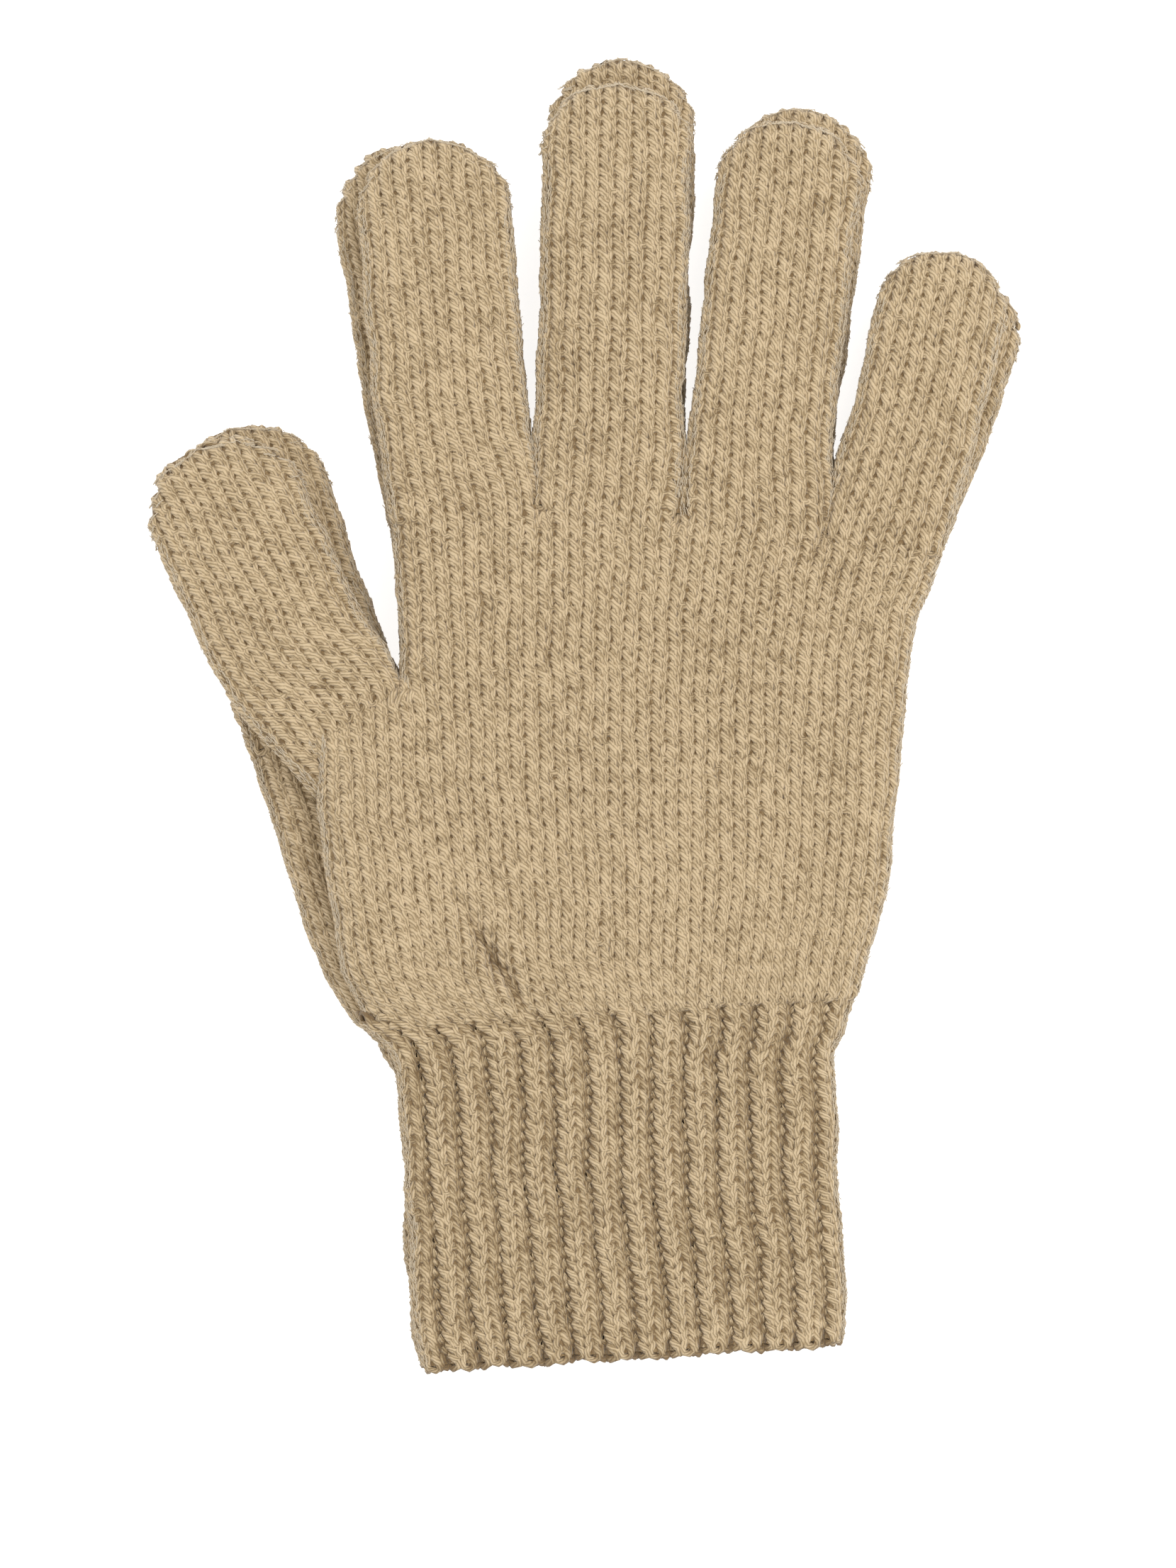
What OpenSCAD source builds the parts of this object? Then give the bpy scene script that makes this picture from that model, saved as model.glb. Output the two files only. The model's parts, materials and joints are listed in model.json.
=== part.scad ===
// A pair of knitted gloves lying flat, one on top of the other, fingers towards +Y and thumbs towards -X.
// Each glove is a hollow flat tube of fabric: a ribbed cuff, a hand and five digits, closed at the tips.
// The lower glove bends its digits and cuff down, the upper glove bends them up and lifts off whole.
// Millimetres. The origin is under the middle of the pair, on the surface that it rests on.

/* [Fabric] */
// Thickness of one layer of knitted fabric
fabric = 2.2; // [1.8:0.1:2.4]
// Height of the room inside a glove that lies flat
room = 5; // [4.6:0.2:7]
// Width of the folded fabric along the sides of a glove
fold_w = 2.4; // [2:0.2:3]
// Gap between the two gloves of the pair
stack_gap = 0.3; // [0.3:0.1:1]

/* [Digits] */
// Width of the thumb
thumb_w = 30; // [28:0.5:30]
// Width of the index, middle and ring fingers
finger_w = 27.6; // [26:0.2:27.6]
// Width of the little finger
little_w = 23.6; // [22:0.2:24]
// Length of the thumb from its bend to its tip
thumb_l = 58; // [50:1:64]
// Length of the index finger from its bend to its tip
index_l = 73.6; // [66:0.2:80]
// Length of the middle finger from its bend to its tip
middle_l = 84; // [74:0.2:88]
// Length of the ring finger from its bend to its tip
ring_l = 78; // [70:0.2:84]
// Length of the little finger from its bend to its tip
little_l = 57.6; // [50:0.2:64]

/* [Cuff] */
// Width of the cuff where it meets the hand
cuff_w = 85; // [80:0.5:88]
// Width of the cuff at its mouth
mouth_w = 80; // [76:0.5:84]
// Height of the ribbed part of the cuff
rib_h = 59; // [40:1:70]
// Height of the cast-on edge below the ribs
edge_h = 3.4; // [2.4:0.2:5]

/* [Seams] */
// Size of the yarn bundle that closes each crotch
crotch_stitch = 3.2; // [2.4:0.2:4]
// Width of the drawn-in yarn that closes each fingertip
tip_stitch = 3.2; // [2.4:0.2:4]

/* [Hidden] */

wool = [0.80, 0.70, 0.53];
rib_wool = [0.77, 0.67, 0.50];
yarn_end = [0.70, 0.60, 0.44];
glove_h = room + 2 * fabric;
upper_z = glove_h + stack_gap;
bend_gap = 0.2;     // clearance between a digit or cuff and the hand, at its bend
over = 1;           // how far a cut runs past what it cuts
stitch_fit = 0.1;   // clearance of a closing yarn in its hole
crotch_fit = 0.6;   // clearance of a closing bundle behind the slanting fold between two fingers
knot_h = 0.9;       // thickness of the knot inside a fingertip
knot_gap = 0.2;     // clearance between the knot and the fabric
tip_recess = 0.3;   // how far the yarn stays below the fingertip's surface
centre = [-0.4, 0.2];   // moves the middle of the pair's box onto the origin

// A digit is [x, y of the middle of its bend, lean to the left in degrees, width, length].
thumb_at = [-49.8, -2.4];
index_at = [-24.2, 36];
middle_at = [3.9, 36.5];
ring_at = [32, 35.5];
little_at = [57.6, 31.4];
lower_reach = [1, 0.6, 5, 3, -2.6];   // how much further the lower glove's digits reach
upper_digits = [
    [thumb_at, 24.5, thumb_w, thumb_l],
    [index_at, 4.6, finger_w, index_l],
    [middle_at, -1.6, finger_w, middle_l],
    [ring_at, -6.2, finger_w, ring_l],
    [little_at, -13.5, little_w, little_l]
];
lower_digits = [
    [thumb_at, 18.5, thumb_w, thumb_l + lower_reach[0]],
    [index_at, 9, finger_w, index_l + lower_reach[1]],
    [middle_at, -2.2, finger_w, middle_l + lower_reach[2]],
    [ring_at, -8, finger_w, ring_l + lower_reach[3]],
    [little_at, -19, little_w, little_l + lower_reach[4]]
];
upper_cuff_lean = 3.7;
lower_cuff_lean = 2.9;
cuff_at = [4.6, -61];

// The sides of the hand between the cuff and the digits.
little_side = [[65.4, 18], [62, 3], [59.5, -14], [56.5, -37], [52.5, -51]];
thumb_side = [[-46.5, -55], [-52, -42], [-56.5, -28], [-60.5, -18]];
crotch_side = [[-36.6, 8], [-37, 22]];   // between the thumb and the index finger

// A point of a digit or the cuff, given across and along it, in the pair's plane.
function placed(at, lean, p) = at + [
    p[0] * cos(lean) - p[1] * sin(lean),
    p[0] * sin(lean) + p[1] * cos(lean)
];
function on_digit(d, p) = placed(d[0], d[1], p);
// The two ends of a digit's bend, drawn in from its sides and moved along it.
function bend_left(d, inset = 0, along = 0) = on_digit(d, [inset - d[2] / 2, along]);
function bend_right(d, inset = 0, along = 0) = on_digit(d, [d[2] / 2 - inset, along]);
function cuff_left(lean, inset = 0, along = 0) = placed(cuff_at, lean, [inset - cuff_w / 2, along]);
function cuff_right(lean, inset = 0, along = 0) = placed(cuff_at, lean, [cuff_w / 2 - inset, along]);
function moved(points, dx) = [for (p = points) p + [dx, 0]];

// The hand seen from above, from the cuff round the thumb and the fingers.
module hand_outline(digits, lean) {
    polygon(concat(
        [cuff_left(lean)], thumb_side,
        [bend_left(digits[0]), bend_right(digits[0])], crotch_side,
        [for (i = [1:4]) each [bend_left(digits[i]), bend_right(digits[i])]],
        little_side, [cuff_right(lean)]
    ));
}

// The room inside the hand, open into the cuff and into each digit.
module hand_room(digits, lean) {
    polygon(concat(
        [cuff_left(lean, fold_w, -over)], moved(thumb_side, fold_w),
        [bend_left(digits[0], fold_w, over), bend_right(digits[0], fold_w, over)],
        moved(crotch_side, fold_w),
        [for (i = [1:4]) each [
            bend_left(digits[i], fold_w, -fold_w), bend_left(digits[i], fold_w, over),
            bend_right(digits[i], fold_w, over), bend_right(digits[i], fold_w, -fold_w)
        ]],
        moved(little_side, -fold_w), [cuff_right(lean, fold_w, -over)]
    ));
}

module hand(digits, lean) {
    difference() {
        linear_extrude(glove_h) hand_outline(digits, lean);
        translate([0, 0, fabric]) linear_extrude(room) hand_room(digits, lean);
    }
}

// One bundle of closing yarn behind each crotch, from one layer of fabric to the other.
module crotch_stitches(digits) {
    thumb_crotch = bend_right(digits[0], fold_w, 0) + [2.2, -3];
    finger_crotches = [for (i = [1:3])
        (bend_right(digits[i], fold_w, -fold_w) + bend_left(digits[i + 1], fold_w, -fold_w)) / 2
            - [0, crotch_stitch / 2 + crotch_fit]
    ];
    for (middle = concat([thumb_crotch], finger_crotches))
        translate([middle[0], middle[1], fabric + stitch_fit])
            linear_extrude(room - 2 * stitch_fit)
                square(crotch_stitch, center = true);
}

// A digit's outline, with its bend on the x axis and its round tip towards +y.
module digit_outline(w, l) {
    translate([-w / 2, bend_gap]) square([w, l - w / 2 - bend_gap]);
    translate([0, l - w / 2]) circle(d = w, $fn = 64);
}

module digit(d) {
    w = d[2];
    l = d[3];
    translate([d[0][0], d[0][1], 0]) rotate(d[1]) difference() {
        linear_extrude(glove_h) digit_outline(w, l);
        translate([0, -over, fabric]) linear_extrude(room)
            digit_outline(w - 2 * fold_w, l - fold_w + over);
        translate([0, l - 2 * fold_w, glove_h / 2]) rotate([-90, 0, 0])
            cylinder(d = tip_stitch, h = 3 * fold_w, $fn = 8);
    }
}

// The drawn-in yarn at a fingertip: a stem through the fabric and a knot inside it.
module tip_stitches(d) {
    l = d[3];
    stem = tip_stitch - 2 * stitch_fit;
    translate([d[0][0], d[0][1], glove_h / 2]) rotate(d[1]) {
        translate([0, l - fold_w - knot_h, 0]) rotate([-90, 0, 0])
            cylinder(d = stem, h = fold_w + knot_h - tip_recess, $fn = 8);
        translate([0, l - fold_w - knot_h - knot_gap, 0]) rotate([-90, 0, 0])
            cylinder(d = stem + 1, h = knot_h, $fn = 8);
    }
}

// A stretch of the cuff between two distances from the wrist; it tapers towards its mouth.
module cuff_band(lean, near, far, flare) {
    total = rib_h + edge_h;
    w_near = cuff_w + (mouth_w - cuff_w) * near / total + flare;
    w_far = cuff_w + (mouth_w - cuff_w) * far / total + flare;
    translate([cuff_at[0], cuff_at[1], 0]) rotate(lean) difference() {
        linear_extrude(glove_h)
            polygon([[-w_near / 2, -near], [-w_far / 2, -far], [w_far / 2, -far], [w_near / 2, -near]]);
        translate([0, 0, fabric]) linear_extrude(room) polygon([
            [fold_w - w_near / 2, over - near], [fold_w - w_far / 2, -far - over],
            [w_far / 2 - fold_w, -far - over], [w_near / 2 - fold_w, over - near]
        ]);
    }
}

module cuff(lean) {
    cuff_band(lean, bend_gap, rib_h, 0);
}

module cuff_edge(lean) {
    cuff_band(lean, rib_h, rib_h + edge_h, 0.8);
}

// Puts a piece of the lower or the upper glove in its place in the pair.
module in_lower() {
    translate([centre[0], centre[1], 0]) children();
}
module in_upper() {
    translate([centre[0], centre[1], upper_z]) children();
}

module lower_cuff_edge() { color(rib_wool) in_lower() cuff_edge(lower_cuff_lean); }
module lower_cuff() { color(rib_wool) in_lower() cuff(lower_cuff_lean); }
module lower_hand() { color(wool) in_lower() hand(lower_digits, lower_cuff_lean); }
module lower_crotch_stitches() { color(yarn_end) in_lower() crotch_stitches(lower_digits); }
module lower_thumb() { color(wool) in_lower() digit(lower_digits[0]); }
module lower_thumb_tip_stitch() { color(yarn_end) in_lower() tip_stitches(lower_digits[0]); }
module lower_index_finger() { color(wool) in_lower() digit(lower_digits[1]); }
module lower_index_tip_stitch() { color(yarn_end) in_lower() tip_stitches(lower_digits[1]); }
module lower_middle_finger() { color(wool) in_lower() digit(lower_digits[2]); }
module lower_middle_tip_stitch() { color(yarn_end) in_lower() tip_stitches(lower_digits[2]); }
module lower_ring_finger() { color(wool) in_lower() digit(lower_digits[3]); }
module lower_ring_tip_stitch() { color(yarn_end) in_lower() tip_stitches(lower_digits[3]); }
module lower_little_finger() { color(wool) in_lower() digit(lower_digits[4]); }
module lower_little_tip_stitch() { color(yarn_end) in_lower() tip_stitches(lower_digits[4]); }

module upper_cuff_edge() { color(rib_wool) in_upper() cuff_edge(upper_cuff_lean); }
module upper_cuff() { color(rib_wool) in_upper() cuff(upper_cuff_lean); }
module upper_hand() { color(wool) in_upper() hand(upper_digits, upper_cuff_lean); }
module upper_crotch_stitches() { color(yarn_end) in_upper() crotch_stitches(upper_digits); }
module upper_thumb() { color(wool) in_upper() digit(upper_digits[0]); }
module upper_thumb_tip_stitch() { color(yarn_end) in_upper() tip_stitches(upper_digits[0]); }
module upper_index_finger() { color(wool) in_upper() digit(upper_digits[1]); }
module upper_index_tip_stitch() { color(yarn_end) in_upper() tip_stitches(upper_digits[1]); }
module upper_middle_finger() { color(wool) in_upper() digit(upper_digits[2]); }
module upper_middle_tip_stitch() { color(yarn_end) in_upper() tip_stitches(upper_digits[2]); }
module upper_ring_finger() { color(wool) in_upper() digit(upper_digits[3]); }
module upper_ring_tip_stitch() { color(yarn_end) in_upper() tip_stitches(upper_digits[3]); }
module upper_little_finger() { color(wool) in_upper() digit(upper_digits[4]); }
module upper_little_tip_stitch() { color(yarn_end) in_upper() tip_stitches(upper_digits[4]); }

lower_cuff_edge();
lower_cuff();
lower_hand();
lower_crotch_stitches();
lower_thumb();
lower_thumb_tip_stitch();
lower_index_finger();
lower_index_tip_stitch();
lower_middle_finger();
lower_middle_tip_stitch();
lower_ring_finger();
lower_ring_tip_stitch();
lower_little_finger();
lower_little_tip_stitch();
upper_cuff_edge();
upper_cuff();
upper_hand();
upper_crotch_stitches();
upper_thumb();
upper_thumb_tip_stitch();
upper_index_finger();
upper_index_tip_stitch();
upper_middle_finger();
upper_middle_tip_stitch();
upper_ring_finger();
upper_ring_tip_stitch();
upper_little_finger();
upper_little_tip_stitch();
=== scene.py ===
"""A pair of knitted gloves, one lying on the other. Every stitch is a loop of yarn, as it is knitted.

Lengths are in millimetres until a mesh is made. A surface takes wales (u, across) and courses (v, along)
and gives a point. A row of stitches is a looping path on that surface, and a tube of yarn follows it.
"""

import json
import math

import bpy
import numpy as np
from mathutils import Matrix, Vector


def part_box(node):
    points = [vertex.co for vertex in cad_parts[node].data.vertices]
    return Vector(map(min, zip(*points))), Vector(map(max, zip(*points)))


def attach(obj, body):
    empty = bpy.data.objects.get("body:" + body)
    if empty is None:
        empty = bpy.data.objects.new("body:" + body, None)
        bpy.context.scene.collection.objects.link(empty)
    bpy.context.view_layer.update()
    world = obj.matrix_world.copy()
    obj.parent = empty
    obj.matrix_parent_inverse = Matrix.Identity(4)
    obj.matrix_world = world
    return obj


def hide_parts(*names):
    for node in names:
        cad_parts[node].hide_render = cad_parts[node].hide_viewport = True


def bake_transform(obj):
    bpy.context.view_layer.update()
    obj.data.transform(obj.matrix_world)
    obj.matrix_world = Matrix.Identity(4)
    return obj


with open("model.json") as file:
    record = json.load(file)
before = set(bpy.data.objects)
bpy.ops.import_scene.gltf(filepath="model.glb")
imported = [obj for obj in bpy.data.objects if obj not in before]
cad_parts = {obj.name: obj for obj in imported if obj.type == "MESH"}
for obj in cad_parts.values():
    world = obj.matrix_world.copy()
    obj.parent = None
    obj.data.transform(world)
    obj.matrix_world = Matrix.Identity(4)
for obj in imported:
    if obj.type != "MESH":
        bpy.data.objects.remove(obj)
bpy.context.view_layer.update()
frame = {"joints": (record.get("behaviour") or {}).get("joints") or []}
JOINTS = {j["name"]: j for j in frame["joints"]}

MM = 0.001
DIGITS = ["thumb", "index", "middle", "ring", "little"]

# The knit. A wale is a column of stitches, and a course is a row of them.
COURSE = 1.96  # height of a course
CUFF_COURSE = 2.08  # ribbing stretches along: its courses are taller
THUMB_WALES = {"upper": 7, "lower": 11}  # wales of the palm that run on into the thumb, on one face
FINGER_START = 8  # the wale at which the palm's other wales start
FINGER_WALES = 36  # wales of the palm that run on into the fingers, on one face
CROTCH_ROW = 33  # course at which the thumb leaves the palm
KNUCKLE_ROW = 50  # course at which the fingers leave the palm
KNUCKLES = [8.0, 18.0, 26.9, 36.2, 44.0]  # where the palm's wales part into the four fingers
CUFF_WALES = 40.5  # wales across one face of the cuff: 13.5 ribs of two knit and one purl
CUFF_ROWS = 29
RIBS_UP = 2  # courses of ribbing above the wrist
DIGIT_TURN, CUFF_TURN = 20.0, 22.0  # how much of a digit or the cuff the turn at its joint takes

# From the middle of a glove to the middle of its fabric.
PALM_HALF = 3.3
DIGIT_HALF = 3.3
CUFF_HALF = 3.1

YARN_R = 0.77  # radius of the yarn
SIDES = 6  # corners round the yarn
STEPS = 10  # rings along one stitch

# How far a stitch's legs bulge sideways, how far the yarn's twist leans it, both in wales, and how much
# broader its left leg is.
PLAIN_LOOP = (0.270, 0.055, 0.14)
RIB_LOOP = (0.31, 0.03, 0.05)
LOOP_REACH = 1.0  # how far it reaches up and down, in courses
LOOP_DEPTH = 0.46  # how far its legs stand out
LOOP_SHINGLE = 0.46  # how far its foot lies over the loop below
# Random changes along a row: across in wales, along in courses, outwards in mm, and a share of the radius.
JITTER = (0.038, 0.085, 0.07, 0.075)

FUZZ = 8  # stray fibres along each fold, in one course
FIBRE_R = 0.08
FIBRE_HEIGHT = 3.0  # what "Height" says of a fibre; no stitch stands as high

BACK_LIFT = 0.50  # how far out of the middle of the fabric the matted strips lie
# Their low "Height" gives the strips the painted shade of the gaps between stitches.
BACK_HEIGHT = 0.3  # what "Height" says of them

WOOL = (0.380, 0.276, 0.150)
FIBRE_COLOUR = (0.56, 0.47, 0.34, 1)


# ---------------------------------------------------------------- small tools


def smooth(x):
    """A soft step from 0 to 1 while x goes from 0 to 1."""
    x = np.clip(x, 0.0, 1.0)
    return x * x * (3 - 2 * x)


def bell(x, width):
    return np.exp(-((x / width) ** 2))


def slopes(k, p):
    """The slope at each knot of a smooth curve that passes p at knots k."""
    step = (p[1:] - p[:-1]) / np.diff(k).reshape((-1,) + (1,) * (p.ndim - 1))
    return np.concatenate([step[:1], (step[1:] + step[:-1]) / 2, step[-1:]])


def cubic(a, span, start, end, start_slope, end_slope):
    """A smooth curve over one span, where a runs from 0 to 1. Past both ends it runs on straight."""
    t = np.clip(a, 0, 1)
    curve = (
        (2 * t**3 - 3 * t**2 + 1) * start
        + (t**3 - 2 * t**2 + t) * span * start_slope
        + (3 * t**2 - 2 * t**3) * end
        + (t**3 - t**2) * span * end_slope
    )
    return curve + (a - t) * span * np.where(a > 0.5, end_slope, start_slope)


def span_of(k, t):
    """Which span between knots k each t falls in. The first and last also take what lies outside."""
    return np.clip(np.searchsorted(k, t, side="right") - 1, 0, len(k) - 2)


def hermite(knots, values, t):
    """A smooth curve through values, points on a plane, at knots."""
    k, p = np.asarray(knots, float), np.asarray(values, float)
    slope = slopes(k, p)
    i = span_of(k, t)
    span = (k[i + 1] - k[i])[:, None]
    return cubic((t - k[i])[:, None] / span, span, p[i], p[i + 1], slope[i], slope[i + 1])


def ripple(x, y, seed, size):
    """A smooth uneven field between about -1 and 1, whose bumps are about size across."""
    rng = np.random.default_rng(seed)
    total = np.zeros(np.broadcast(x, y).shape)
    for _ in range(5):
        a = rng.uniform(0, 2 * np.pi)
        f = 2 * np.pi / (size * rng.uniform(0.7, 1.6))
        total = total + np.sin(f * (np.cos(a) * x + np.sin(a) * y) + rng.uniform(0, 2 * np.pi))
    return total / 3


def turned(p, lean):
    """Points across and along a piece, turned to its lean."""
    c, s = math.cos(lean), math.sin(lean)
    return np.stack([p[..., 0] * c - p[..., 1] * s, p[..., 0] * s + p[..., 1] * c], -1)


def place(joint):
    """Where a joint bends a piece: a point, and the lean of the piece to the left."""
    j = JOINTS[joint]
    x, y = j["pos_m"][0] / MM, j["pos_m"][1] / MM
    return np.array([x, y]), math.atan2(j["axis"][1], j["axis"][0])


def digit_node(glove_name, digit_name):
    """The CAD node of a digit."""
    return f"{glove_name}_{digit_name}" + ("" if digit_name == "thumb" else "_finger")


class Fold:
    """The profile of a flat tube beside its fold: fabric runs up from the fold to the tube's flat face."""

    def __init__(self, half, span, power):
        inward = span * (1 - np.cos(np.linspace(0, np.pi / 2, 200)))
        height = half * np.sqrt(np.clip(1 - (1 - inward / span) ** power, 0, 1))
        run = np.concatenate([[0], np.cumsum(np.hypot(np.diff(inward), np.diff(height)))])
        self.run, self.inward, self.height = run, inward, height
        self.extra = run[-1] - span

    def at(self, fabric):
        """How far in from the fold, and how high, for a length of fabric from the fold. It is signed."""
        f = np.abs(fabric)
        past = np.maximum(f - self.run[-1], 0)
        inward = np.interp(f, self.run, self.inward) + past
        return inward, np.sign(fabric) * np.interp(f, self.run, self.height)


# ---------------------------------------------------------------- surfaces


class Glove:
    """What the pieces of one glove share."""

    HEEL, WRIST = -47, -61  # the places along it where the hand stands up and is drawn in
    CREASE = (-18.1, -47.5)  # a crease slants down to the wrist through here
    CREASE_ACROSS = (0.844, 0.536)
    PUCKERS = ((3, -47.5, 9), (-28, -49, 6), (41, -57, 4))  # x, y and half width of the smaller ones

    def __init__(self, name):
        lo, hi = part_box(name + "_hand")
        self.name = name
        self.body = name + "_glove_"
        self.upper = name == "upper"
        self.mid = (lo.z + hi.z) / 2 / MM
        self.seed = 11 if self.upper else 47
        self.wrist, lean = place(name + "_cuff_fold")
        self.cuff_lean = lean + math.pi if lean < 0 else lean - math.pi
        self.first = FINGER_START - THUMB_WALES[name]  # the palm's leftmost wale
        self.last = FINGER_START + FINGER_WALES

    def uneven(self, p):
        """Knitted fabric never lies quite straight."""
        x, y = p[:, 0], p[:, 1]
        dx = 0.30 * ripple(x, y, self.seed + 20, 15) + 0.14 * ripple(x, y, self.seed + 22, 6)
        dy = 0.22 * ripple(x, y, self.seed + 21, 12) + 0.14 * ripple(x, y, self.seed + 23, 5)
        return p + np.column_stack([dx, dy])

    def relief(self, x, y, side):
        """How far the glove's faces rise and fall. All but the pair's upper face stay nearly flat."""
        swell = 0.35 * ripple(x, y, self.seed, 34) + 0.18 * ripple(x, y, self.seed + 1, 13)
        if side < 0 or not self.upper:
            return 0.25 * swell * side
        heel = 0.9 * bell(y - self.HEEL, 9) - 1.1 * bell(y - self.WRIST, 5)
        dx, dy = x - self.CREASE[0], y - self.CREASE[1]
        nx, ny = self.CREASE_ACROSS
        across, along = dx * nx + dy * ny, dy * nx - dx * ny
        banks = bell(across - 3.6, 2.2) + bell(across + 3.6, 2.4)
        pucker = (0.8 * banks - 2.2 * bell(across, 1.9)) * bell(along, 11)
        for middle, low, half in self.PUCKERS:
            pucker = pucker - 1.1 * bell(x - middle, half) * bell(y - low, 2.6)
        return side * (0.25 + swell + heel + pucker)


class Surface:
    """Each kind has point(u, v, side) and rows(), which gives every row's course and first and last wale."""

    def closes(self, v):
        """Whether the row v is one of those that round off a tip."""
        return False

    def painted_shade(self, u, v, p, side):
        """How much painted shade darkens a place, below what its stitches' own height tells."""
        return 0.0


class Palm(Surface):
    """The hand: u from the thumb's side to the little finger's, v from the wrist to the knuckles."""

    ROWS = [0, 3, 7, 13.5, 23, CROTCH_ROW, 41.5, KNUCKLE_ROW]
    # At each row after the first, the folds pass one of these points. The two lines below them pass theirs
    # at the last three rows.
    THUMB_EDGE = {
        "upper": [
            (-41.6, -57.8),
            (-45.8, -51.2),
            (-48.2, -39.8),
            (-50.8, -21.8),
            (-51.6, -5.4),
            (-54, 9),
            (-57, 24),
        ],
        "lower": [
            (-44.8, -58.6),
            (-49.4, -51.6),
            (-54.4, -39.6),
            (-59.9, -21.4),
            (-64.2, -8.6),
            (-67.4, 6),
            (-71, 22),
        ],
    }
    LITTLE_EDGE = [
        (50.6, -52.6),
        (53.0, -45.0),
        (55.9, -33.0),
        (58.0, -15.0),
        (59.6, 3.8),
        (62.0, 18.4),
        (66.6, 30.0),
    ]
    CROTCH_LINE = [(-35.2, 4.0), (-35.9, 20.0), (-37.5, 35.4)]
    MIDDLE_LINE = [(11.8, 4.8), (12.8, 21.4), (14.2, 37.4)]
    MIDDLE_WALE = 26
    DRAWN_IN = ((4, 0.7), (3, 0.3), (2, 0.1))  # rows below those three, and how far they follow

    def __init__(self, glove):
        self.g = glove
        self.fold = Fold(half=PALM_HALF, span=8.0, power=2.6)
        left_end = -Cuff.HALF - Cuff.FLARE[glove.name]
        right_end = Cuff.HALF + Cuff.FLARE_RIGHT
        cuff = turned(np.array([[left_end, 0.0], [right_end, 0.0]]), glove.cuff_lean) + glove.wrist
        left = np.vstack([cuff[0], self.THUMB_EDGE[glove.name]])
        right = np.vstack([cuff[1], self.LITTLE_EDGE])
        lines = []
        for wale, top in ((FINGER_START, self.CROTCH_LINE), (self.MIDDLE_WALE, self.MIDDLE_LINE)):
            straight = left + (wale - glove.first) / (glove.last - glove.first) * (right - left)
            line = straight.copy()
            line[5:] = top
            for row, pull in self.DRAWN_IN:
                line[row] += pull * (line[5] - straight[5])
            lines.append(line)
        self.knots = np.array([glove.first, FINGER_START, self.MIDDLE_WALE, glove.last], float)
        self.lines = np.stack([left, *lines, right])  # knot, row, xy

    def plan(self, u, v):
        """The flat outline's point, before the folds are rounded."""
        rows = np.stack([hermite(self.ROWS, line, v) for line in self.lines])  # knot, n, xy
        k, slope = self.knots, slopes(self.knots, rows)
        i, n = span_of(k, u), np.arange(len(u))
        span = (k[i + 1] - k[i])[:, None]
        a = (u - k[i])[:, None] / span
        return cubic(a, span, rows[i, n], rows[i + 1, n], slope[i, n], slope[i + 1, n])

    def left_wale(self, v):
        return float(FINGER_START if v > CROTCH_ROW else self.g.first)

    def folded(self, u, v, side, left):
        """The palm, rounded at its folds, when its leftmost wale is left: a flat point and a height."""
        last = float(self.g.last)
        count = last - left
        ends = self.plan(np.full_like(u, last), v) - self.plan(np.full_like(u, left), v)
        width = np.linalg.norm(ends, axis=1)
        fabric = (width + 2 * self.fold.extra) / count
        from_left, from_right = (u - left) * fabric, (last - u) * fabric
        near_left = from_left < from_right
        inward, height = self.fold.at(np.where(near_left, from_left, from_right))
        planar = np.where(near_left, inward, width - inward) * count / width + left
        return self.plan(planar, v), height, near_left

    def point(self, u, v, side):
        p, height, near_left = self.folded(u, v, side, float(self.g.first))
        if self.g.upper and side > 0:
            # where the thumb comes out of the palm, the palm's fold opens flat
            opening = near_left * smooth((v - CROTCH_ROW + 5) / 5)
            height = height + (PALM_HALF - 0.3 - height) * opening
        # above the thumb, the palm folds at the first of the fingers' wales
        q, above, _ = self.folded(u, v, side, float(FINGER_START))
        w = smooth((v - CROTCH_ROW + 0.4) / 2.6) * (u > FINGER_START - 0.7)
        p = p * (1 - w[:, None]) + q * w[:, None]
        height = height * (1 - w) + above * w
        # the fabric dips between the fingers
        dip = np.max([bell(u - crotch, 0.6) for crotch in KNUCKLES[1:-1]], axis=0)
        height = height * (1 - 0.5 * dip * smooth((v - KNUCKLE_ROW + 2.5) / 2.5))
        z = side * height + self.g.relief(p[:, 0], p[:, 1], side) * np.clip(height / PALM_HALF, 0, 1)
        return np.column_stack([self.g.uneven(p), self.g.mid + z])

    def painted_shade(self, u, v, p, side):
        # Painted shade: the palm's dips, crease and puckers are painted darker.
        return 0.6 * np.minimum(side * self.g.relief(p[:, 0], p[:, 1], side), 0)

    def rows(self):
        for v in range(1 + RIBS_UP, KNUCKLE_ROW + 1):
            yield float(v), self.left_wale(v), float(self.g.last)


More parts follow.
